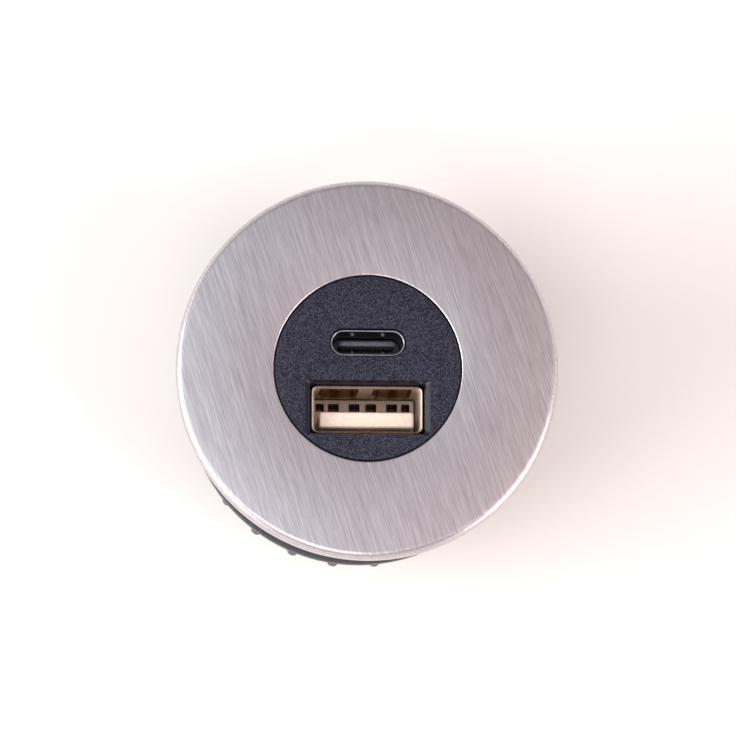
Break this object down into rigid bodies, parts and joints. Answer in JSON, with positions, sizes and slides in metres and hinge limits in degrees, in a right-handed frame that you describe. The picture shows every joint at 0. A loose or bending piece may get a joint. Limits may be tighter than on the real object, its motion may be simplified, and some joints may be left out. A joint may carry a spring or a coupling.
{
  "type": "desk grommet",
  "caption": "Round desk grommet with a brushed steel trim ring, a black face with USB-A and USB-C charging ports, and a threaded barrel clamped under the desk by a washer and locking nut.",
  "frame": {"origin": "on the barrel's axis, in the plane of the desk top that the part is fitted in, which is the gasket's underside", "axes": "+Z out of the desk along the barrel's axis, +Y from the USB-A port towards the USB-C port, +X along the ports' long sides"},
  "size_m": [0.045, 0.045, 0.0424],
  "materials": {
    "trim_ring": "straight brushed stainless steel",
    "trim_adhesive": "grey acrylic foam tape",
    "face_insert": "fine spark-eroded texture",
    "threaded_housing": "moulded ABS, satin",
    "flange_gasket": "closed-cell foam rubber, matt",
    "usb_a_shell": "nickel-plated stamped steel",
    "usb_a_insulator": "ivory moulded PBT",
    "usb_a_contacts": "gold-plated spring bronze",
    "usb_c_shell": "nickel-plated deep-drawn steel",
    "usb_c_tongue": "moulded LCP",
    "usb_c_contacts": "gold-plated bronze",
    "usb_c_riser": "moulded LCP",
    "main_board": "glass-epoxy laminate with green solder mask",
    "power_inductor": "pressed iron powder",
    "charge_controller_chips": "moulded epoxy with tinned legs",
    "filter_capacitors": "drawn can, satin",
    "ceramic_capacitors": "fired ceramic, tinned ends",
    "positive_lead": "PVC insulated wire",
    "negative_lead": "PVC insulated wire",
    "rear_cover": "moulded ABS, satin",
    "rear_cover_screws": "zinc-plated pan-head screws",
    "dc_inlet_body": "moulded nylon",
    "dc_inlet_nut": "nickel-plated hexagon nut",
    "dc_inlet_pin": "nickel-plated turned pin",
    "dc_inlet_spring": "tinned phosphor bronze",
    "clamp_washer": "moulded nylon, satin",
    "locking_nut": "moulded nylon, satin"
  },
  "bodies": {
    "housing": {"trim_ring": "trim_ring", "trim_adhesive": "trim_adhesive", "face_insert": "face_insert", "threaded_housing": "threaded_housing", "flange_gasket": "flange_gasket", "usb_a_shell": "usb_a_shell", "usb_a_insulator": "usb_a_insulator", "usb_a_contacts": "usb_a_contacts", "usb_c_shell": "usb_c_shell", "usb_c_tongue": "usb_c_tongue", "usb_c_contacts": "usb_c_contacts", "usb_c_riser": "usb_c_riser", "main_board": "main_board", "power_inductor": "power_inductor", "charge_controller_chips": "charge_controller_chips", "filter_capacitors": "filter_capacitors", "ceramic_capacitors": "ceramic_capacitors", "positive_lead": "positive_lead", "negative_lead": "negative_lead", "rear_cover": "rear_cover", "rear_cover_screws": "rear_cover_screws", "dc_inlet_body": "dc_inlet_body", "dc_inlet_nut": "dc_inlet_nut", "dc_inlet_pin": "dc_inlet_pin", "dc_inlet_spring": "dc_inlet_spring"},
    "clamp_washer": {"clamp_washer": "clamp_washer"},
    "locking_nut": {"locking_nut": "locking_nut"}
  },
  "joints": [
    {"name": "washer_slide", "type": "slide", "parent": "housing", "child": "clamp_washer", "axis": [0, 0, 1], "range_m": [-0.0093, 0.0128]},
    {"name": "nut_turn", "type": "hinge", "parent": "clamp_washer", "child": "locking_nut", "pos_m": [0, 0, -0.025], "axis": [0, 0, 1], "range_deg": [-1110, 1530]}
  ],
  "couplings": [
    {"joint": "washer_slide", "follows": "nut_turn", "m_per_rad": 0.00047746}
  ]
}
